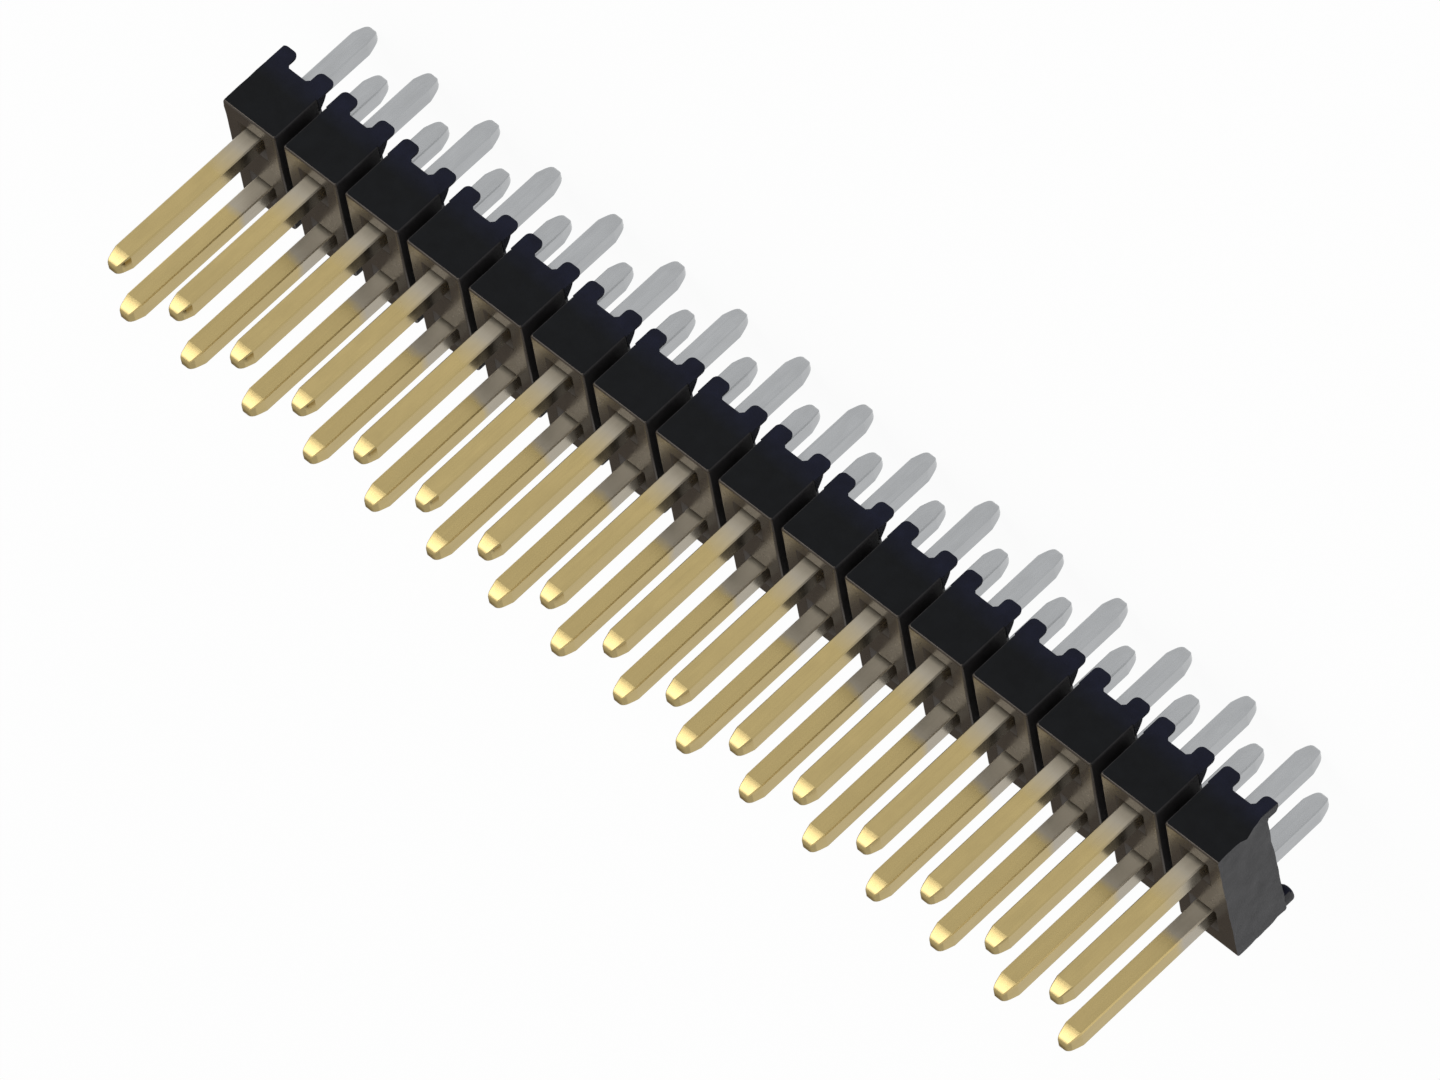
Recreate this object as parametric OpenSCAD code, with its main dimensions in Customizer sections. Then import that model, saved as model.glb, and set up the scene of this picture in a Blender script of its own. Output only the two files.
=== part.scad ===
// Straight pin header strip with two rows of square pins.
// The moulded housing is a chain of blocks, one for each pair of pins, joined by
// narrow webs where a longer strip is cut to length. It stands off the board on
// small half-round feet, and the pins are pressed through it.
//
// Frame: origin in the middle of the strip, on the plane of the feet's ends (the
// board). +X runs along the strip, +Y across the rows, +Z along the contact pins.

/* [Grid] */

// Pairs of pins along the strip
positions = 16; // [2:1:20]
// Distance between neighbouring pins, along the strip and across the rows
pitch = 2.54; // [2.4:0.01:3]

/* [Housing] */

// Width of the housing across both rows
body_w = 4.83; // [4.6:0.01:6]
// Height of the housing, from the feet's ends to the contact side
body_h = 2.575; // [2.2:0.005:5]
// Gap between neighbouring blocks
notch_w = 0.36; // [0.2:0.01:0.5]
// Depth of the gap in from each long side
notch_depth = 1; // [0.5:0.05:1.6]
// Depth of the gap on the contact side
groove_top = 0.7; // [0.2:0.05:0.9]
// Depth of the gap on the board side
groove_bottom = 0.35; // [0.1:0.05:0.5]
// Slope that eases the blocks' edges on the board side of the gaps
block_ease = 0.28; // [0.05:0.01:0.32]
// Chamfer round the contact side of a block
face_edge = 0.06; // [0.01:0.01:0.12]

/* [Cut end] */

// How far the cut lies past the last block's end, in the middle of the contact side
cut_proud = 0.03; // [0:0.01:0.05]
// Lean of the cut towards the board side, in degrees
cut_lean = 2; // [0:0.5:6]
// Skew of the cut across the rows, in degrees
cut_skew = 2.5; // [0:0.5:3]

/* [Feet] */

// Diameter of a foot, which is a half round with its flat in the block's long side
foot_d = 0.64; // [0.4:0.01:0.8]
// Height of the feet below the housing's floor
foot_h = 0.5; // [0.3:0.01:0.8]
// Chamfer round a foot's end
foot_edge = 0.1; // [0.02:0.01:0.15]
// Spread of a foot's root where it leaves the housing
foot_root = 0.08; // [0.02:0.01:0.2]

/* [Pins] */

// Side of the square pin
pin_w = 0.64; // [0.5:0.01:0.7]
// Length of a pin above the housing
contact_len = 5.84; // [3:0.02:15]
// Length of a pin below the feet
tail_len = 2.46; // [2:0.02:6]
// Length of the tapered part at each end of a pin
tip_len = 0.56; // [0.3:0.01:0.9]
// Width of a pin's flat end
tip_w = 0.24; // [0.15:0.01:0.4]
// Chamfer along the four long edges of a pin
pin_edge = 0.04; // [0.01:0.01:0.08]

/* [Press fit] */

// Length of the coined barbs that hold a pin in the housing
barb_len = 0.8; // [0.4:0.05:1.2]
// How far a barb stands out from the pin
barb_out = 0.06; // [0.02:0.01:0.12]
// Width of a barb
barb_w = 0.3; // [0.1:0.01:0.4]
// Clearance between a pin and its hole on each side
pin_gap = 0.01; // [0.005:0.005:0.05]
// Width of the lead-in slope round the mouth of a hole on the contact side
hole_edge = 0.22; // [0.05:0.01:0.26]

/* [Hidden] */

// roundness of the feet
$fn = 48;
// extra length of a cutting tool past the surface that it cuts
over = 0.5;

block_l = pitch - notch_w;
// the housing's floor, between its feet
floor_z = foot_h;
// centre of the first position
first_x = -(positions - 1) / 2 * pitch;
// nominal end of the last block
last_x = -first_x + block_l / 2;
// the webs fill what the four gaps leave
web_y = body_w / 2 - notch_depth;
web_z0 = floor_z + groove_bottom;
web_z1 = body_h - groove_top;
// a foot stands in the block's corner, with its axis in the plane of the long side
foot_x = block_l / 2 - foot_d / 2;
foot_y = body_w / 2;
barb_z = (floor_z + body_h) / 2;
contact_z = body_h + contact_len;
tail_z = -tail_len;

function pos_x(i) = first_x + (i - 1) * pitch;
function row_y(row) = row == "a" ? pitch / 2 : -pitch / 2;
function pin_name(row, i) = str("pin_", row, i < 10 ? "0" : "", i);

rows = ["a", "b"];

// Outline across X and Z, extruded along Y and centred on it.
module along_y(length) {
    translate([0, length / 2, 0])
        rotate([90, 0, 0])
            linear_extrude(length)
                children();
}

// Half the width of a pin's taper, at a share t of its length from the shank.
function taper(t) = pin_w / 2 - (pin_w - tip_w) / 2 * t * t;

// A pin seen from one side: a straight shank whose ends taper more and more.
module pin_outline() {
    right = concat(
        [for (t = [1:-0.25:0]) [taper(t), tail_z + tip_len * (1 - t)]],
        [for (t = [0:0.25:1]) [taper(t), contact_z - tip_len * (1 - t)]]
    );
    left = [for (i = [len(right) - 1:-1:0]) [-right[i][0], right[i][1]]];
    polygon(concat(right, left));
}

// The pin's cross section: a square with eased corners. grow widens it, for the
// hole that takes it.
module pin_section(grow = 0) {
    half = pin_w / 2 + grow;
    flat = half - pin_edge;
    polygon([
        [half, flat], [flat, half], [-flat, half], [-half, flat],
        [-half, -flat], [-flat, -half], [flat, -half], [half, -flat]
    ]);
}

// Shank and tapers: where the two side views and the cross section meet.
module pin_shank() {
    wide = pin_w + 2 * over;
    intersection() {
        along_y(wide) pin_outline();
        rotate([0, 0, 90]) along_y(wide) pin_outline();
        translate([0, 0, tail_z]) linear_extrude(contact_z - tail_z) pin_section();
    }
}

// Two coined barbs, on the faces that look along the strip, each a low wedge that
// is steep towards the contact side, so the pin can't be pulled back out.
module barbs(grow = 0) {
    root = pin_w / 2 - pin_edge;
    out = pin_w / 2 + barb_out + grow;
    along_y(barb_w + 2 * grow)
        polygon([
            [-root, barb_z - barb_len / 2 - grow],
            [root, barb_z - barb_len / 2 - grow],
            [out, barb_z + barb_len / 4],
            [out, barb_z + barb_len / 2 + grow],
            [-out, barb_z + barb_len / 2 + grow],
            [-out, barb_z + barb_len / 4]
        ]);
}

module pin() {
    color("goldenrod") {
        pin_shank();
        barbs();
    }
}

// What a pin's hole takes out of the housing, with an eased mouth.
module pin_hole() {
    half = pin_w / 2 + pin_gap;
    mouth = half + hole_edge;
    translate([0, 0, floor_z - over])
        linear_extrude(body_h - floor_z + 2 * over)
            pin_section(pin_gap);
    barbs(pin_gap);
    intersection() {
        along_y(2 * mouth) mouth_outline(half, mouth);
        rotate([0, 0, 90]) along_y(2 * mouth) mouth_outline(half, mouth);
    }
}

// Side view of the eased mouth.
module mouth_outline(half, mouth) {
    polygon([
        [half, body_h - hole_edge],
        [mouth, body_h],
        [mouth, body_h + over],
        [-mouth, body_h + over],
        [-mouth, body_h],
        [-half, body_h - hole_edge]
    ]);
}

// A round stand-off foot with a chamfered end, which the block cuts to a half
// round. Its root spreads up into the block's eased edge.
module foot() {
    r = foot_d / 2;
    spread = foot_root + block_ease;
    cylinder(h = foot_edge, r1 = r - foot_edge, r2 = r);
    translate([0, 0, foot_edge])
        cylinder(h = foot_h + block_ease - foot_edge, r = r);
    translate([0, 0, foot_h - foot_root])
        cylinder(h = spread, r1 = r, r2 = r + spread);
}

// A block seen from one side, 2 * half wide, with chamfered corners on the contact
// side and a slope as wide as ease on the board side.
module block_outline(half, ease) {
    polygon([
        [-half + ease, floor_z],
        [half - ease, floor_z],
        [half, floor_z + ease],
        [half, body_h - face_edge],
        [half - face_edge, body_h],
        [-half + face_edge, body_h],
        [-half, body_h - face_edge],
        [-half, floor_z + ease]
    ]);
}

// One block of the housing, eased along its two gaps on the board side.
module block() {
    half = block_l / 2;
    intersection() {
        along_y(body_w) block_outline(half, block_ease);
        rotate([0, 0, 90]) along_y(block_l) block_outline(body_w / 2, 0);
    }
    intersection() {
        for (sx = [-1, 1], sy = [-1, 1])
            translate([sx * foot_x, sy * foot_y, 0]) foot();
        translate([-half, -body_w / 2, 0]) cube([block_l, body_w, web_z0 + block_ease]);
    }
}

// The webs that join the blocks, drawn as one bar that runs through all of them.
module webs() {
    translate([first_x, -web_y, web_z0])
        cube([last_x - first_x, 2 * web_y, web_z1 - web_z0]);
}

// The last block runs on without eased edges, as it did in the longer strip.
module run_on() {
    length = max(block_ease, face_edge) + notch_w / 2;
    translate([last_x + notch_w / 2 - length / 2, 0, 0])
        rotate([0, 0, 90])
            along_y(length)
                block_outline(body_w / 2, 0);
}

// What the leaning cut takes off the end of the strip.
module cut_away() {
    translate([last_x + cut_proud, 0, body_h])
        rotate([0, cut_lean, cut_skew])
            translate([0, -body_w, -2 * body_h])
                cube([pitch, 2 * body_w, 3 * body_h]);
}

module housing() {
    color("dimgray")
        difference() {
            union() {
                for (i = [1:positions]) translate([pos_x(i), 0, 0]) block();
                webs();
                run_on();
            }
            cut_away();
            for (row = rows, i = [1:positions])
                translate([pos_x(i), row_y(row), 0]) pin_hole();
        }
}

housing();
for (row = rows, i = [1:positions])
    translate([pos_x(i), row_y(row), 0]) pin();
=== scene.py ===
# %% [markdown]
# # Dressing a pin header strip
#
# The object is a straight two-row pin header. One black moulding, a chain of small blocks, carries square
# pins that are gold on the contact side and tin on the solder side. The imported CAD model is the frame: it
# fixes every size and place, and this script only gives the pieces their finished shapes and finishes.

# %% Load the frame
import math

import bmesh
import bpy
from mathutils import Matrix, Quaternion, Vector, noise


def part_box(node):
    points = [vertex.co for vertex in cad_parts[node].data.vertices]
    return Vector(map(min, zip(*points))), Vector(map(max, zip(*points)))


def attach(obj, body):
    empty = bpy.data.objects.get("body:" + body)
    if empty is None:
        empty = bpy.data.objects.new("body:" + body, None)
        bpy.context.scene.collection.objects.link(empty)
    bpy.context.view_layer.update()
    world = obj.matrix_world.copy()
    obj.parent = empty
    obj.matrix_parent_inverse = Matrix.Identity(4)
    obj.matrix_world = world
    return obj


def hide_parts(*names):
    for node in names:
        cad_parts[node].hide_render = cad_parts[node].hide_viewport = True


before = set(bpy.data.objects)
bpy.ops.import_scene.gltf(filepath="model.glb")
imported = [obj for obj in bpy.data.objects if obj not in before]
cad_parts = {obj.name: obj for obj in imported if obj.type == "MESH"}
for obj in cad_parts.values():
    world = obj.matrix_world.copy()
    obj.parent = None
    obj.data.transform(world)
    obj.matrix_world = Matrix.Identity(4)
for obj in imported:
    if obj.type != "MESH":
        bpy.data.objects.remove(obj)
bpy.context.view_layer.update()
MM = 0.001

# %% [markdown]
# ## Sizes
#
# A size that a box of the CAD model gives is read from the frame and not typed again: the pitch is the
# distance between two neighbouring pins, and a pin's width and ends come from its own box. The others, such
# as the gap between blocks, are named here with the values of the part's source. Only EDGE_ROUND and
# FOOT_EDGE are the finished moulding's own, because the source has plain chamfers or sharp edges there.

# %% Read the sizes from the frame
PIN_PREFIX = "pin_"
pin_nodes = sorted(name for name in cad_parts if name.startswith(PIN_PREFIX))
positions = len(pin_nodes) // 2
first_lo, first_hi = (Vector(v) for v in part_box("pin_a01"))
next_lo = Vector(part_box("pin_a02")[0])
house_lo, house_hi = (Vector(v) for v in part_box("housing"))
pitch = next_lo.x - first_lo.x
pin_w = first_hi.y - first_lo.y
half_pin = pin_w / 2
row_y = (first_lo.y + first_hi.y) / 2
tail_z, contact_z = first_lo.z, first_hi.z
body_w = house_hi.y - house_lo.y
body_h = house_hi.z
print("positions", positions, "pitch", round(pitch / MM, 3), "pin", round(pin_w / MM, 3))

# %% Name the sizes that no box gives
NOTCH_W = 0.36 * MM
NOTCH_DEPTH = 1.0 * MM
GROOVE_TOP = 0.70 * MM
GROOVE_BOTTOM = 0.35 * MM
BLOCK_EASE = 0.28 * MM
EDGE_ROUND = 0.08 * MM
FOOT_D = 0.64 * MM
FOOT_H = 0.50 * MM
FOOT_EDGE = 0.19 * MM
FOOT_ROOT = 0.08 * MM
TIP_LEN = 0.56 * MM
PIN_EDGE = 0.04 * MM
PIN_GAP = 0.01 * MM
HOLE_EDGE = 0.22 * MM
block_l = pitch - NOTCH_W
half_l = block_l / 2
half_w = body_w / 2
first_x = -(positions - 1) / 2 * pitch
last_x = -first_x + half_l
print("block", round(block_l / MM, 3), "long, first position at", round(first_x / MM, 3))

# %% [markdown]
# ## Camera
#
# The photograph is a close view through a long lens, so the picture is almost free of perspective. The
# camera is given by what it looks at, its distance, the two angles of its line of sight and its roll.

# %% Place the camera
IMAGE_W = 1440
FOCAL_PX = 19110.6
SENSOR_MM = 36.0
AIM = Vector((0.3115, -0.1732, 2.9930)) * MM
DISTANCE = 548.9 * MM
AZIMUTH = math.radians(61.904)
ELEVATION = math.radians(18.757)
ROLL = math.radians(-132.679)


def direction(azimuth, elevation):
    """Unit vector from the object towards a point at these two angles."""
    flat = math.cos(elevation)
    return Vector((flat * math.cos(azimuth), flat * math.sin(azimuth), math.sin(elevation)))


camera_data = bpy.data.cameras.new("camera")
camera_data.sensor_width = SENSOR_MM
camera_data.lens = FOCAL_PX / IMAGE_W * SENSOR_MM
camera_data.clip_start = 0.01
camera_data.clip_end = 10.0
camera = bpy.data.objects.new("camera", camera_data)
sight = direction(AZIMUTH, ELEVATION)
camera.location = AIM + DISTANCE * sight
camera.rotation_mode = "QUATERNION"
camera.rotation_quaternion = (-sight).to_track_quat("-Z", "Y") @ Quaternion((0, 0, 1), ROLL)
bpy.context.collection.objects.link(camera)
bpy.context.scene.camera = camera
print("lens", round(camera_data.lens, 1), "mm")

# %% [markdown]
# ## Floor, world and lamp
#
# The strip stands on the tips of its tails, on a white floor. The polished faces of the pins and of the
# moulding are mirrors for what is round them, so the world stays pale and even, and one large bright panel
# stands where the pins' tapers and the housing's contact face reflect it.

# %% Make shader nodes
def node(tree, kind, inputs=None, **settings):
    """Add a shader node. An input is either a plain value or another node's output."""
    made = tree.nodes.new("ShaderNode" + kind)
    for key, value in settings.items():
        setattr(made, key, value)
    for socket, value in (inputs or {}).items():
        if isinstance(value, bpy.types.NodeSocket):
            tree.links.new(value, made.inputs[socket])
        else:
            made.inputs[socket].default_value = value
    return made


def maths(tree, operation, *values):
    """One step of arithmetic on plain values or on other nodes' outputs."""
    return node(tree, "Math", dict(enumerate(values)), operation=operation).outputs[0]


def background_rays(tree):
    """1 for rays that show the background: straight from the camera, or by way of metal or glass."""
    path = node(tree, "LightPath")
    total = path.outputs["Is Camera Ray"]
    for name in ("Is Glossy Ray", "Is Transmission Ray"):
        total = maths(tree, "MAXIMUM", total, path.outputs[name])
    return total


# %% Build the floor
FLOOR_SIZE = 1.2
FLOOR_OWN_LIGHT = 0.95
FLOOR_COLOUR = (0.95, 0.95, 0.95, 1)
bpy.ops.object.select_all(action="DESELECT")
bpy.ops.mesh.primitive_plane_add(size=FLOOR_SIZE, location=(0, 0, tail_z))
floor = bpy.context.object
floor.name = "floor"
floor_paint = bpy.data.materials.new("white floor")
floor_paint.use_nodes = True
tree = floor_paint.node_tree
tree.nodes.clear()
share = maths(tree, "MULTIPLY", background_rays(tree), FLOOR_OWN_LIGHT)
paint = node(tree, "BsdfDiffuse", {"Color": FLOOR_COLOUR})
glow = node(tree, "Emission", {"Color": (1, 1, 1, 1)})
blend = node(tree, "MixShader", {"Fac": share, 1: paint.outputs[0], 2: glow.outputs[0]})
node(tree, "OutputMaterial", {"Surface": blend.outputs[0]})
floor.data.materials.append(floor_paint)
print("floor at", round(tail_z / MM, 3), "mm, own light", FLOOR_OWN_LIGHT)

# %% [markdown]
# The world is white all round, apart from one darker side, low behind the strip. It stands for the dim part
# of the room that the polished contact face mirrors, and without it that face would look grey, not black.

# %% Light the world
WORLD_LEVEL = 0.75
DIM_COLOUR = (0.27, 0.23, 0.19)
DIM_SIDE = direction(math.radians(-118.1), math.radians(18.8))
DIM_EDGE = math.cos(math.radians(42))
DIM_CORE = math.cos(math.radians(14))
world = bpy.data.worlds.new("studio")
bpy.context.scene.world = world
world.use_nodes = True
tree = world.node_tree
tree.nodes.clear()
way = node(tree, "TexCoord").outputs["Generated"]
facing = node(tree, "VectorMath", {0: way, 1: DIM_SIDE}, operation="DOT_PRODUCT").outputs["Value"]
dim = node(tree, "MapRange", {"Value": facing, "From Min": DIM_EDGE, "From Max": DIM_CORE},
           interpolation_type="SMOOTHSTEP")
lit = node(tree, "MixRGB", {"Fac": dim.outputs["Result"], "Color1": (1, 1, 1, 1), "Color2": (*DIM_COLOUR, 1)})
seen = node(tree, "Background", {"Color": (1, 1, 1, 1), "Strength": 1.0})
around = node(tree, "Background", {"Color": lit.outputs["Color"], "Strength": WORLD_LEVEL})
view = node(tree, "MixShader", {"Fac": node(tree, "LightPath").outputs["Is Camera Ray"],
                                1: around.outputs[0], 2: seen.outputs[0]})
node(tree, "OutputWorld", {"Surface": view.outputs[0]})
bpy.context.scene.view_settings.view_transform = "Standard"
print("world level", WORLD_LEVEL)

# %% Hang the lamp
def panel(name, azimuth, elevation, distance, size, level):
    """A square lamp that faces the object. level is its brightness as a reflection shows it."""
    data = bpy.data.lights.new(name, "AREA")
    data.shape = "SQUARE"
    data.size = size
    data.energy = level * math.pi * size * size
    lamp = bpy.data.objects.new(name, data)
    towards = direction(math.radians(azimuth), math.radians(elevation))
    lamp.location = AIM + distance * towards
    lamp.rotation_mode = "QUATERNION"
    lamp.rotation_quaternion = (-towards).to_track_quat("-Z", "Y")
    bpy.context.collection.objects.link(lamp)
    print(name, "with", round(data.energy, 3), "W")


panel("key panel", azimuth=118.1, elevation=19.5, distance=0.5, size=0.30, level=2.8)

# %% [markdown]
# ## A few hand tools
#
# Modelling by hand is always the same few moves: take one piece into edit mode, pick some of its faces or
# edges by where they lie, and work on them. These small helpers name those moves, so that each later cell
# reads like the work itself. Everything is deselected first, because an operator acts on all that is
# selected.


# %% Take a piece into edit mode, and pick on it
def select_only(*pieces):
    """Leave edit mode and select just these objects. The first is the active one."""
    if bpy.context.mode != "OBJECT":
        bpy.ops.object.mode_set(mode="OBJECT")
    bpy.ops.object.select_all(action="DESELECT")
    for piece in pieces:
        piece.select_set(True)
    bpy.context.view_layer.objects.active = pieces[0]


def edit(piece, kind="FACE"):
    """Open a piece in edit mode with nothing selected on it."""
    select_only(piece)
    bpy.ops.object.mode_set(mode="EDIT")
    bpy.ops.mesh.select_mode(type=kind)
    bpy.ops.mesh.select_all(action="DESELECT")


def pick_faces(test):
    """Select the faces whose centre and normal pass the test, and say how many there are."""
    mesh = bmesh.from_edit_mesh(bpy.context.object.data)
    for face in mesh.faces:
        face.select_set(bool(test(face.calc_center_median(), face.normal)))
    bmesh.update_edit_mesh(bpy.context.object.data)
    return sum(face.select for face in mesh.faces)


def pick_edges(test):
    """Select the edges whose middle and direction pass the test, and say how many there are."""
    mesh = bmesh.from_edit_mesh(bpy.context.object.data)
    for edge in mesh.edges:
        one, two = (vert.co for vert in edge.verts)
        edge.select_set(bool(test((one + two) / 2, (two - one).normalized())))
    bmesh.update_edit_mesh(bpy.context.object.data)
    return sum(edge.select for edge in mesh.edges)


# %% Pull faces out, and copy and shift a piece
def draw_out(rise, wider, centre):
    """In edit mode, pull the picked faces out along Z, and scale them in X and Y round a centre."""
    bpy.ops.mesh.extrude_region_move(TRANSFORM_OT_translate={"value": (0, 0, rise)})
    bpy.ops.transform.resize(value=(wider, wider, 1), center_override=centre)


def duplicate(source):
    """A copy of a piece, with a mesh of its own."""
    piece = source.copy()
    piece.data = source.data.copy()
    bpy.context.collection.objects.link(piece)
    return piece


def shift(piece, way):
    """Move a piece's mesh, while its origin stays where it is."""
    edit(piece)
    bpy.ops.mesh.select_all(action="SELECT")
    bpy.ops.transform.translate(value=way)
    select_only(piece)


# %% Add a box, join and cut solids
NEAR = 0.0005 * MM
# A unit vector counts as aligned with an axis when its component there is above this.
ALIGNED = 0.9


def add_box(name, lo, hi):
    """A box between two corners, with its place in its mesh."""
    bpy.ops.object.select_all(action="DESELECT")
    size = Vector(hi) - Vector(lo)
    bpy.ops.mesh.primitive_cube_add(size=1, location=Vector(lo) + size / 2, scale=size)
    box = bpy.context.object
    box.name = box.data.name = name
    bpy.ops.object.transform_apply(location=True, rotation=False, scale=True)
    return box


def combine(piece, tool, operation):
    """Join a tool to a piece, or cut it out of the piece, and put the tool away."""
    select_only(piece)
    bpy.ops.object.modifier_add(type="BOOLEAN")
    cut = piece.modifiers[-1]
    cut.operation, cut.solver, cut.object = operation, "MANIFOLD", tool
    bpy.ops.object.modifier_apply(modifier=cut.name)
    bpy.data.objects.remove(tool)


def cut_off(place, normal):
    """In edit mode, cut off all that lies past a plane, and close the section."""
    bpy.ops.mesh.select_all(action="SELECT")
    bpy.ops.mesh.bisect(plane_co=place, plane_no=normal, use_fill=True, clear_outer=True, threshold=NEAR / 10)


def open_edges(piece):
    """How many edges of a piece don't lie between exactly two faces."""
    mesh = bmesh.new()
    mesh.from_mesh(piece.data)
    count = sum(len(edge.link_faces) != 2 for edge in mesh.edges)
    mesh.free()
    return count


# %% [markdown]
# ## The housing's block
#
# The real housing comes out of a mould as one chain. Each link is a block with two square holes, four
# half-round feet and a piece of the web that joins it to its neighbours. So one link is modelled, as long
# as the pitch, and then copied along the strip. It starts as a cube: its lower edges towards the gaps are
# cut back, as on the real one, and then all edges get the small radius that a mould leaves.


# %% Shape the body of a block
RUN_ON = 0.5 * MM


def body(name, runs_on):
    """One block. Where the strip runs on, the block is longer at +X and has no eased edge there."""
    right = half_l + (RUN_ON if runs_on else 0)
    block = add_box(name, (-half_l, -half_w, FOOT_H), (right, half_w, body_h))
    edit(block, "EDGE")
    pick_edges(lambda mid, way: mid.z < FOOT_H + NEAR and abs(way.y) > ALIGNED
               and (mid.x < 0 or not runs_on))
    bpy.ops.mesh.bevel(offset=BLOCK_EASE, segments=1)
    bpy.ops.mesh.select_all(action="SELECT")
    bpy.ops.mesh.bevel(offset=EDGE_ROUND, segments=4, profile=0.5)
    select_only(block)
    return block


# %% [markdown]
# A foot is a half-round stub in the corner of the block, with its flat in the long side. It is turned from
# a cylinder: the end's rim is rounded, the root spreads into the block, and then the side of the block
# and the plane of its end cut it off.

# %% Turn the feet
FOOT_SIDES = 32
FLUSH = 0.002 * MM


def foot(at_x, at_y):
    """A foot in the corner of a block. at_x and at_y are 1 or -1."""
    radius = FOOT_D / 2
    centre = Vector((at_x * (half_l - radius), at_y * half_w, 0))
    straight = FOOT_H - FOOT_ROOT
    bpy.ops.object.select_all(action="DESELECT")
    bpy.ops.mesh.primitive_cylinder_add(vertices=FOOT_SIDES, radius=radius, depth=straight,
                                        location=centre + Vector((0, 0, straight / 2)))
    stub = bpy.context.object
    bpy.ops.object.transform_apply(location=True, rotation=False, scale=False)
    edit(stub, "EDGE")
    pick_edges(lambda mid, way: mid.z < NEAR)
    bpy.ops.mesh.bevel(offset=FOOT_EDGE, segments=5, profile=0.5)
    bpy.ops.mesh.select_mode(type="FACE")
    pick_faces(lambda mid, normal: normal.z > ALIGNED)
    spread = FOOT_ROOT + BLOCK_EASE
    draw_out(spread, (radius + spread) / radius, centre)
    for plane, normal in (
        (Vector((centre.x, centre.y - at_y * FLUSH, 0)), Vector((0, at_y, 0))),
        (Vector((at_x * (half_l - FLUSH), centre.y, 0)), Vector((at_x, 0, 0))),
    ):
        cut_off(plane, normal)
    select_only(stub)
    return stub


# %% [markdown]
# The holes are cut with a square punch that opens into a funnel, which leads a pin in when the strip is
# assembled. The web pieces are plain bars with rounded edges that end halfway to the next block.


# %% Shape the hole punch and the web
HOLE_CORNER = 0.03 * MM
LIP_RISE, LIP_GROW = 0.015 * MM, 0.03 * MM
CLEAR_RISE, CLEAR_GROW = 0.1 * MM, 0.06 * MM


def punch(at_y):
    """What one pin's hole takes out of a block."""
    half = half_pin + PIN_GAP
    top = body_h - HOLE_EDGE
    tool = add_box("punch", (-half, at_y - half, FOOT_H - BLOCK_EASE), (half, at_y + half, top))
    edit(tool, "EDGE")
    pick_edges(lambda mid, way: abs(way.z) > ALIGNED)
    bpy.ops.mesh.bevel(offset=HOLE_CORNER, segments=2, profile=0.5)
    bpy.ops.mesh.select_mode(type="FACE")
    pick_faces(lambda mid, normal: normal.z > ALIGNED)
    reach = half
    funnel = HOLE_EDGE - LIP_RISE
    for rise, grow in ((funnel, funnel), (LIP_RISE, LIP_GROW), (CLEAR_RISE, CLEAR_GROW)):
        draw_out(rise, (reach + grow) / reach, (0, at_y, 0))
        reach += grow
    select_only(tool)
    return tool


def web(side):
    """Half of the web between two blocks. side is 1 or -1."""
    ends = sorted((side * (half_l - 2 * EDGE_ROUND), side * pitch / 2))
    bar = add_box("web", (ends[0], -half_w + NOTCH_DEPTH, FOOT_H + GROOVE_BOTTOM),
                  (ends[1], half_w - NOTCH_DEPTH, body_h - GROOVE_TOP))
    edit(bar, "EDGE")
    pick_edges(lambda mid, way: abs(way.x) > ALIGNED)
    bpy.ops.mesh.bevel(offset=EDGE_ROUND, segments=2, profile=0.5)
    select_only(bar)
    return bar


# %% Put a link together
def link(name, runs_on=False):
    """A block with its feet, its halves of the webs and its two holes."""
    block = body(name, runs_on)
    for at_x in (-1, 1):
        for at_y in (-1, 1):
            combine(block, foot(at_x, at_y), "UNION")
    for side in (-1,) if runs_on else (-1, 1):
        combine(block, web(side), "UNION")
    for at_y in (-row_y, row_y):
        combine(block, punch(at_y), "DIFFERENCE")
    print(name, len(block.data.polygons), "faces,", open_edges(block), "open edges")
    return block


middle_link = link("middle_link")
last_link = link("last_link", runs_on=True)

# %% [markdown]
# ## The two ends
#
# At the left the strip ends in a plain snapped face. At the right it was cut from a longer strip with a
# blade, and that face leans, is skewed and is a little torn. A bisect with a filled section makes both
# faces. More bisects, on the torn face alone, give it a grid of points that can be pushed in and out.

# %% Tear a cut face
IN_THE_CUT = 0.9999
BROAD_GRAIN = 0.35 * MM
FINE_GRAIN = 0.12 * MM


def tear(piece, normal, rough, columns, rows, lumps):
    """Give the face that looks along normal a grid of points, and push them in and out along X. rough is in
    mm, and a lump is its y, z, radius and height in mm."""
    edit(piece)
    for axis, count, lo, hi in ((Vector((0, 1, 0)), columns, -half_w, half_w),
                                (Vector((0, 0, 1)), rows, FOOT_H, body_h)):
        for i in range(1, count):
            pick_faces(lambda mid, way: way.dot(normal) > IN_THE_CUT)
            bpy.ops.mesh.bisect(plane_co=axis * (lo + (hi - lo) * i / count), plane_no=axis,
                                threshold=NEAR / 10)
    pick_faces(lambda mid, way: way.dot(normal) > IN_THE_CUT)
    mesh = bmesh.from_edit_mesh(piece.data)
    points = {vert for face in mesh.faces if face.select for vert in face.verts}
    outward = math.copysign(1, normal.x)
    for vert in points:
        push = rough * (noise.noise(vert.co / BROAD_GRAIN) + 0.5 * noise.noise(vert.co / FINE_GRAIN))
        for y, z, radius, height in lumps:
            away = math.hypot(vert.co.y / MM - y, vert.co.z / MM - z) / radius
            push += height * math.exp(-away * away)
        vert.co.x += outward * push * MM
    bmesh.update_edit_mesh(piece.data)
    select_only(piece)
    print("torn face:", len(points), "points")


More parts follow.
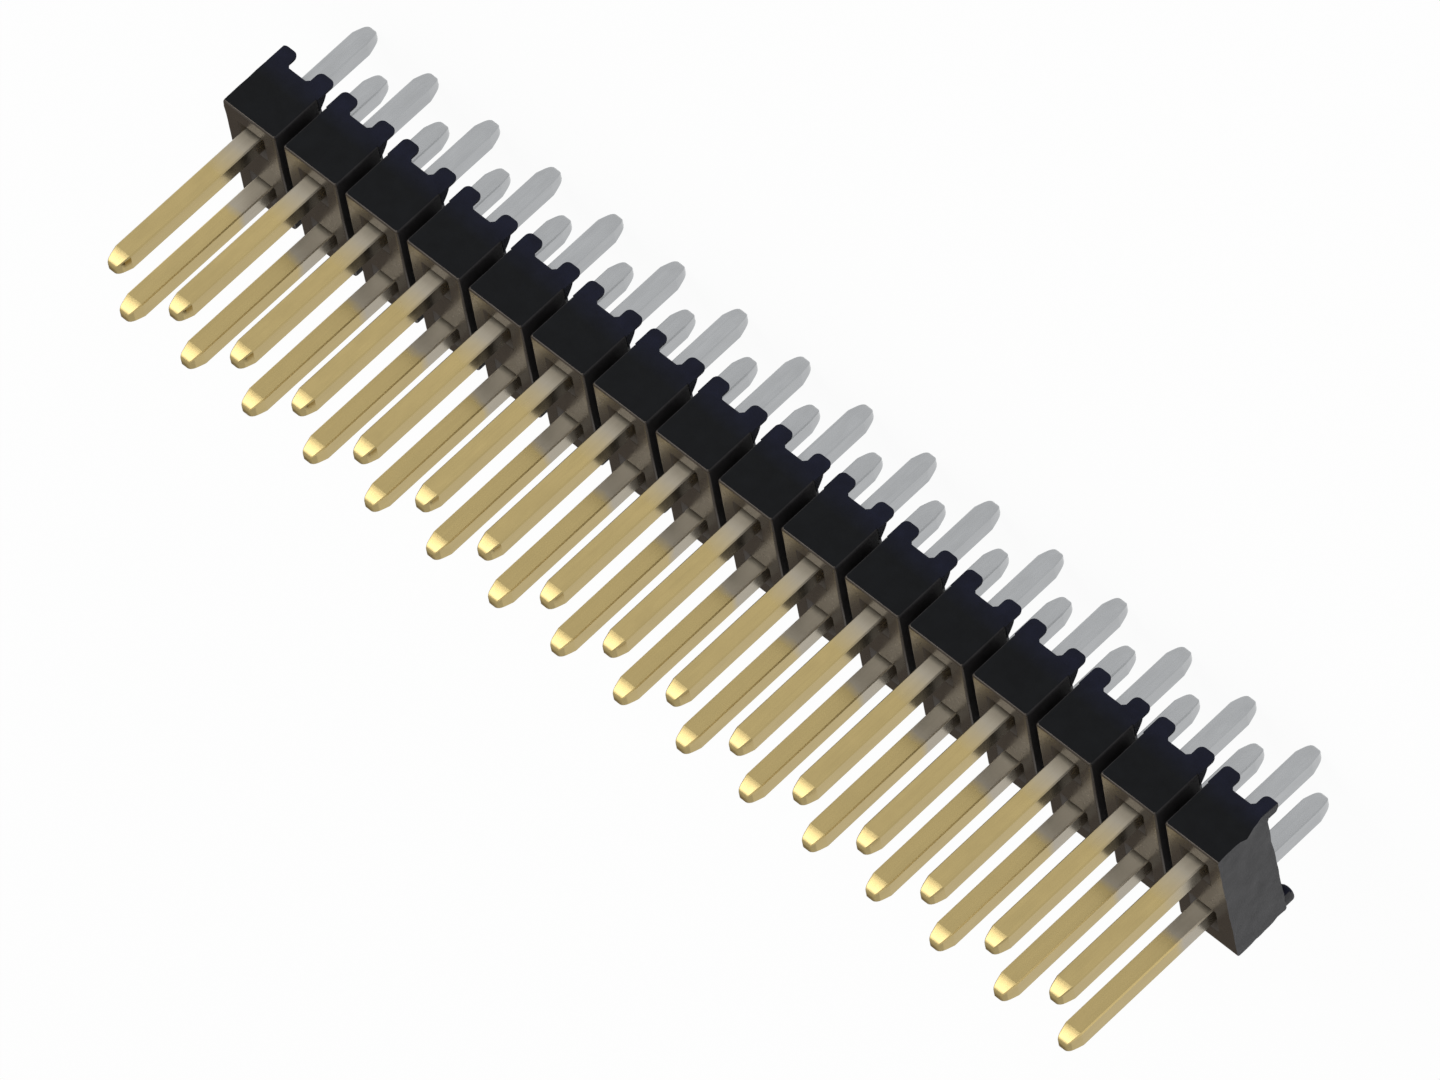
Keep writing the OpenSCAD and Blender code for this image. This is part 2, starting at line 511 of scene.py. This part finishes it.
# %% Cut the left end
LEFT_TRIM = 0.05 * MM
LEFT_WAY = Vector((-1, 0, 0))
LEFT_ROUGH = 0.012
LEFT_LUMPS = ((2.1, 2.5, 0.12, 0.03),)
first_link = duplicate(middle_link)
edit(first_link)
cut_off((LEFT_TRIM - half_l, 0, 0), LEFT_WAY)
tear(first_link, LEFT_WAY, LEFT_ROUGH, columns=14, rows=6, lumps=LEFT_LUMPS)

# %% Cut the right end
CUT_PROUD = 0.03 * MM
CUT_LEAN = math.radians(2.0)
CUT_SKEW = math.radians(2.5)
CUT_ROUGH = 0.03
CUT_LUMPS = ((2.4, 1.39, 0.17, 0.11), (2.35, 0.6, 0.25, -0.07), (1.0, 0.5, 0.3, -0.04))
cut_way = Vector((math.cos(CUT_LEAN) * math.cos(CUT_SKEW), math.cos(CUT_LEAN) * math.sin(CUT_SKEW),
                  -math.sin(CUT_LEAN)))
edit(last_link)
cut_off((half_l + CUT_PROUD, 0, body_h), cut_way)
tear(last_link, cut_way, CUT_ROUGH, columns=24, rows=11, lumps=CUT_LUMPS)
print("first link", open_edges(first_link), "open edges, last link", open_edges(last_link))

# %% [markdown]
# ## The chain
#
# Each link gets its own mesh at its place. The web halves touch at their end faces, so those faces are
# deleted and the rims merged, which leaves one closed moulding.

# %% Copy the links along the strip and join them
links = []
for i in range(positions):
    source = first_link if i == 0 else last_link if i == positions - 1 else middle_link
    piece = duplicate(source)
    shift(piece, (first_x + i * pitch, 0, 0))
    links.append(piece)
for source in (middle_link, first_link, last_link):
    bpy.data.objects.remove(source)
select_only(*links)
bpy.ops.object.join()
housing = bpy.context.object
housing.name = housing.data.name = "moulded_housing"
edit(housing)


def between_links(mid, normal):
    """Whether this is an end face of a web half."""
    place = (mid.x - first_x) / pitch - 0.5
    return abs(normal.x) > ALIGNED and abs(place - round(place)) * pitch < NEAR


print("web ends deleted:", pick_faces(between_links))
bpy.ops.mesh.delete(type="FACE")
bpy.ops.mesh.select_all(action="SELECT")
bpy.ops.mesh.remove_doubles(threshold=NEAR)
bpy.ops.mesh.normals_make_consistent(inside=False)
select_only(housing)
for vert in housing.data.vertices:
    vert.co.x = min(vert.co.x, house_hi.x)
print("housing", len(housing.data.polygons), "faces,", open_edges(housing), "open edges")

# %% [markdown]
# ## The pins
#
# A pin is cut from square drawn wire, and both ends are pressed to a taper. The wire's long edges have a
# small flat chamfer. So one pin starts as a box with chamfered long edges, and each end is drawn out in
# steps: first a flat taper, then narrower and narrower rings that round it off to a small nose. A step is a
# pair of numbers, how far along the taper it lies and half of the pin's width there in millimetres. The
# barbs that hold a pin lie inside the housing, where nothing shows them, so they are left to the CAD model.

# %% Draw out one pin
TAPER = ((0.03, 0.318), (0.30, 0.286), (0.55, 0.254), (0.72, 0.226), (0.84, 0.196), (0.92, 0.164),
         (0.97, 0.128), (1.0, 0.080))


def draw_tip(way):
    """Draw out the end of the pin that looks along Z. way is 1 or -1."""
    pick_faces(lambda mid, normal: way * normal.z > ALIGNED)
    before, width = 0.0, half_pin / MM
    for share, half in TAPER:
        draw_out(way * TIP_LEN * (share - before), half / width, (0, 0, 0))
        before, width = share, half


one_pin = add_box("one_pin", (-half_pin, -half_pin, tail_z + TIP_LEN),
                  (half_pin, half_pin, contact_z - TIP_LEN))
edit(one_pin, "EDGE")
pick_edges(lambda mid, way: abs(way.z) > ALIGNED)
bpy.ops.mesh.bevel(offset=PIN_EDGE, segments=1)
bpy.ops.mesh.select_mode(type="FACE")
draw_tip(1)
draw_tip(-1)
select_only(one_pin)
print("pin", len(one_pin.data.polygons), "faces,", open_edges(one_pin), "open edges")

# %% Copy the pin to all its places
pins = {}
for name in pin_nodes:
    lo, hi = (Vector(v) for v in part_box(name))
    piece = duplicate(one_pin)
    piece.name = piece.data.name = "post_" + name.removeprefix(PIN_PREFIX)
    shift(piece, ((lo.x + hi.x) / 2, (lo.y + hi.y) / 2, 0))
    for vert in piece.data.vertices:
        vert.co.z = min(max(vert.co.z, tail_z), contact_z)
    pins[name] = piece
bpy.data.objects.remove(one_pin)
print(len(pins), "pins")

# %% Shade the pieces smooth
SMOOTH_BELOW = math.radians(35)
for piece in [housing, *pins.values()]:
    select_only(piece)
    bpy.ops.object.shade_smooth_by_angle(angle=SMOOTH_BELOW)
    bpy.ops.object.modifier_add(type="WEIGHTED_NORMAL")
    piece.modifiers[-1].keep_sharp = True
    bpy.ops.object.modifier_apply(modifier=piece.modifiers[-1].name)
print("smooth pieces:", 1 + len(pins))

# %% [markdown]
# ## The pins' finish
#
# The wire is brass. Its contact end is plated with gold and its solder end with tin. Between the two, in
# the housing and just above it, lies a greyish border of the plating. It turns to gold slowly on the outer
# row and sharply on the inner one, and that difference between the rows is painted reflection, standing in
# for what each row mirrors near the housing. So the colour follows the height along the pin, in Object
# coordinates, and noise keeps the borders from being straight. Drawing the wire leaves faint lines along it:
# they are noise that is stretched along Z, and they drive the colour and a very fine bump. On the inner row
# the long edges of the contact end are painted paler, a painted highlight. The faces that look along the
# strip are nearly mirrors, the others are duller, and the long edges and the sheared contact ends are duller
# still, so the roughness reads the normal and the height.


# %% Start a finish
def finish(name, metallic, specular):
    """A new material with only its shader and output. Gives its tree, shader and Object coordinates."""
    mat = bpy.data.materials.new(name)
    mat.use_nodes = True
    tree = mat.node_tree
    shader = tree.nodes["Principled BSDF"]
    shader.inputs["Metallic"].default_value = metallic
    shader.inputs["Specular IOR Level"].default_value = specular
    return mat, tree, shader, node(tree, "TexCoord").outputs["Object"]


def grain(tree, place, size, stretch=(1, 1, 1), detail=3.0):
    """Noise from 0 to 1, with grains of about this size in millimetres. A small stretch makes them long."""
    scaled = node(tree, "Mapping", {"Vector": place, "Scale": stretch})
    return node(tree, "TexNoise", {"Vector": scaled.outputs["Vector"], "Scale": 1 / (size * MM),
                                   "Detail": detail, "Roughness": 0.55}).outputs["Fac"]


def spread(tree, value, lo, hi, start=0.3, end=0.7):
    """Spread a value from start to end over lo to hi. Most noise lies between 0.3 and 0.7."""
    return node(tree, "MapRange", {"Value": value, "From Min": start, "From Max": end,
                                   "To Min": lo, "To Max": hi}).outputs["Result"]


def fade(tree, height, low, high, start, end):
    """The colour start below the height low, the colour end above the height high, a blend in between."""
    return node(tree, "MixRGB", {"Fac": spread(tree, height, 0.0, 1.0, low, high), "Color1": start,
                                 "Color2": end}).outputs["Color"]


# %% Plate the pins
TIN = (0.40, 0.41, 0.42, 1)
GREY_BORDER = (0.38, 0.34, 0.27, 1)
GOLD = (0.45, 0.35, 0.155, 1)
TIN_ENDS = 1.6 * MM
BORDER_STARTS = 2.3 * MM
# Heights where the grey turns to gold, per row: the plating's border, with painted reflection in the
# difference between the rows.
GOLD_BORDER_AND_PAINTED_REFLECTION = {"a": (3.1 * MM, 4.2 * MM), "b": (3.7 * MM, 4.0 * MM)}
BORDER_WANDER = 0.08 * MM
ALONG_ROUGH, ACROSS_ROUGH = 0.10, 0.24
ROOT_BLUR, ROOT_LENGTH = 0.18, 1.8 * MM
SHEARED_BLUR = 0.35
SHEARED_FROM, SHEARED_TO = contact_z - 0.15 * MM, contact_z - 0.02 * MM
EDGE_FROM, EDGE_TO = 0.1, 0.4


def plate(name, gold_border_and_painted_reflection, painted_highlight_gain, edge_blur):
    """The pins' finish. The gold border gives the heights between which the grey turns to gold, and they
    differ by row as painted reflection. The highlight gain makes the long edges of the contact end paler, a
    painted highlight, and edge_blur makes the long edges duller."""
    mat, tree, shader, place = finish(name, 1.0, 0.5)
    height = node(tree, "SeparateXYZ", {"Vector": place}).outputs["Z"]
    patchy = spread(tree, grain(tree, place, size=0.9), -BORDER_WANDER, BORDER_WANDER)
    uneven = maths(tree, "ADD", height, patchy)
    facing = node(tree, "SeparateXYZ", {"Vector": node(tree, "NewGeometry").outputs["Normal"]})
    across = maths(tree, "ABSOLUTE", facing.outputs["Y"])
    metal = fade(tree, uneven, TIN_ENDS, BORDER_STARTS, TIN, GREY_BORDER)
    # The gold border's heights differ by row: painted reflection.
    metal = fade(tree, uneven, *gold_border_and_painted_reflection, metal, GOLD)
    lines = grain(tree, place, size=0.045, stretch=(1, 1, 0.015), detail=4.0)
    clouds = grain(tree, place, size=0.35, stretch=(1, 1, 0.4))
    edge = maths(tree, "ABSOLUTE", maths(tree, "MULTIPLY", facing.outputs["X"], facing.outputs["Y"]))
    # Painted highlight: the gain makes the long edges of the contact end paler; only the inner row has one.
    pale = maths(tree, "MULTIPLY", spread(tree, edge, 0.0, painted_highlight_gain, EDGE_FROM, EDGE_TO),
                 spread(tree, height, 0.0, 1.0, 0.0, body_h))
    tone = maths(tree, "ADD", pale, 1.0)
    for part in (spread(tree, lines, 0.97, 1.03), spread(tree, clouds, 0.96, 1.04)):
        tone = maths(tree, "MULTIPLY", tone, part)
    colour = node(tree, "MixRGB", {"Fac": 1.0, "Color1": metal, "Color2": tone}, blend_type="MULTIPLY")
    tree.links.new(colour.outputs["Color"], shader.inputs["Base Color"])
    # The third part makes a pin duller just above the housing, and the fourth undoes that on the solder tail.
    rough = spread(tree, clouds, -0.03, 0.03)
    for part in (spread(tree, across, ALONG_ROUGH, ACROSS_ROUGH, start=0.2, end=0.9),
                 spread(tree, edge, 0.0, edge_blur, EDGE_FROM, EDGE_TO),
                 spread(tree, height, ROOT_BLUR, 0.0, body_h, body_h + ROOT_LENGTH),
                 spread(tree, height, -ROOT_BLUR, 0.0, 0.0, body_h),
                 spread(tree, height, 0.0, SHEARED_BLUR, SHEARED_FROM, SHEARED_TO)):
        rough = maths(tree, "ADD", rough, part)
    tree.links.new(rough, shader.inputs["Roughness"])
    bump = node(tree, "Bump", {"Height": lines, "Strength": 0.05, "Distance": 0.004 * MM})
    tree.links.new(bump.outputs["Normal"], shader.inputs["Normal"])
    return mat


# The two rows are copies of one plating that differ in painted reflection (the gold border), in painted
# highlight (paler contact edges) and in how dull their edges are.
plated = {"a": plate("gold and tin on brass with painted reflection, outer row", GOLD_BORDER_AND_PAINTED_REFLECTION["a"], painted_highlight_gain=0.0, edge_blur=0.08),
          "b": plate("gold and tin on brass, inner row", GOLD_BORDER_AND_PAINTED_REFLECTION["b"], painted_highlight_gain=0.5, edge_blur=0.28)}
for name, piece in pins.items():
    row = name.removeprefix(PIN_PREFIX)[0]
    piece.data.materials.clear()
    piece.data.materials.append(plated[row])
print("pins plated:", len(pins))

# %% [markdown]
# ## The housing's finishes
#
# The moulding is black glass-filled plastic with four finishes. Its sides come from eroded steel and are
# matt and finely pitted, and their colour is painted lighter and bluish towards the board side: painted
# light. The contact face comes from polished steel, so it is glossy, with faint waves from the plastic's
# flow; its black and what it mirrors are tinted warm, a painted warm reflection. The cut end is torn
# plastic, paler and rough, and the narrow gaps between the blocks are painted a lighter black, painted
# light that lifts the shade in them. A face gets its finish by where it is and where it looks.


# %% Mould the four finishes
# Up to this height the matt sides are painted lighter and bluish: painted light.
PAINTED_LIGHT_ENDS = 2.5 * FOOT_H
CLOUD_TO_PIT = 9


def plastic(name, low, high, roughness, specular, size, depth, strength, reflection_tint=(1, 1, 1)):
    """Black plastic. low and high are its colours on the board side and above, and where they differ the
    lighter, bluish board side is painted light. roughness is its range, size and depth in mm and strength are
    those of its pits, and the reflection tint colours what it mirrors, a painted warm reflection where it is
    not white."""
    mat, tree, shader, place = finish(name, 0.0, specular)
    # Painted warm reflection: a tint other than white colours what the polished face mirrors.
    shader.inputs["Specular Tint"].default_value = (*reflection_tint, 1)
    height = node(tree, "SeparateXYZ", {"Vector": place}).outputs["Z"]
    # Painted light: where low and high differ, the board side is painted lighter and bluish.
    black = fade(tree, height, FOOT_H, PAINTED_LIGHT_ENDS, low, high)
    cloud = grain(tree, place, size * CLOUD_TO_PIT)
    pits = grain(tree, place, size, detail=4.0)
    tone = maths(tree, "MULTIPLY", spread(tree, cloud, 0.8, 1.2), spread(tree, pits, 0.85, 1.15))
    colour = node(tree, "MixRGB", {"Fac": 1.0, "Color1": black, "Color2": tone}, blend_type="MULTIPLY")
    tree.links.new(colour.outputs["Color"], shader.inputs["Base Color"])
    tree.links.new(spread(tree, pits, *roughness), shader.inputs["Roughness"])
    bump = node(tree, "Bump", {"Height": pits, "Strength": strength, "Distance": depth * MM})
    tree.links.new(bump.outputs["Normal"], shader.inputs["Normal"])
    return mat


# The matt sides' bluish black is painted light, for the lighter, bluish board side.
BLACK = (0.0042, 0.0048, 0.0058, 1)
BLACK_WITH_PAINTED_BLUE_LIGHT = (0.0070, 0.0080, 0.0180, 1)
# The contact face's black, warmer and lighter than the sides', and its warm tint are painted warm reflection.
BLACK_WITH_PAINTED_WARM_REFLECTION = (0.015, 0.011, 0.008, 1)
# The gaps' lighter black is painted light, which lifts the shade between the blocks.
BLACK_WITH_PAINTED_LIGHT = (0.018, 0.017, 0.018, 1)
TORN_GREY = (0.037, 0.037, 0.040, 1)
PAINTED_WARM_REFLECTION = (1.0, 0.88, 0.77)
FINISHES = (
    plastic("matt moulded plastic with painted light", BLACK_WITH_PAINTED_BLUE_LIGHT, BLACK, roughness=(0.58, 0.70), specular=0.10,
            size=0.05, depth=0.006, strength=0.5),
    plastic("polished moulded plastic with painted warm reflection", BLACK_WITH_PAINTED_WARM_REFLECTION, BLACK_WITH_PAINTED_WARM_REFLECTION, roughness=(0.26, 0.34), specular=0.75,
            size=0.09, depth=0.002, strength=0.3, reflection_tint=PAINTED_WARM_REFLECTION),
    plastic("torn plastic", TORN_GREY, TORN_GREY, roughness=(0.50, 0.65), specular=0.4,
            size=0.06, depth=0.02, strength=0.8),
    plastic("moulded plastic with painted light in the gaps", BLACK_WITH_PAINTED_LIGHT, BLACK_WITH_PAINTED_LIGHT, roughness=(0.60, 0.75), specular=0.2,
            size=0.05, depth=0.006, strength=0.5),
)
SIDES, CONTACT, TORN, GAP = range(4)
TORN_REACH = 0.35 * MM
TORN_FACING, CONTACT_FACING, MOUTH_FACING = 0.6, 0.2, 0.3
housing.data.materials.clear()
for mat in FINISHES:
    housing.data.materials.append(mat)
for face in housing.data.polygons:
    along = (face.center.x - first_x) / pitch
    from_middle = abs(along - round(along)) * pitch
    in_mouth = from_middle < half_l - 2 * EDGE_ROUND and abs(face.center.y) < half_w - 2 * EDGE_ROUND
    facing_up = MOUTH_FACING if in_mouth else CONTACT_FACING
    face.material_index = SIDES
    if face.normal.x > TORN_FACING and face.center.x > last_x - TORN_REACH:
        face.material_index = TORN
    elif face.center.z > body_h - HOLE_EDGE and face.normal.z > facing_up:
        face.material_index = CONTACT
    # The narrow gaps between the blocks get the lighter black: painted light in their shade.
    elif (from_middle > half_l - EDGE_ROUND / 2 and abs(face.center.x) < last_x - half_l
          and face.center.z > FOOT_H):
        face.material_index = GAP
print("faces by finish:", [sum(f.material_index == i for f in housing.data.polygons) for i in range(4)])

# %% [markdown]
# ## Ride, replace and finish
#
# Nothing moves on a header, so all pieces ride on the one body, and each takes the place of its CAD node.

# %% Give the pieces to the frame
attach(housing, "root")
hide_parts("housing")
for name, piece in pins.items():
    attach(piece, "root")
    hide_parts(name)
print("pieces on the frame:", 1 + len(pins))
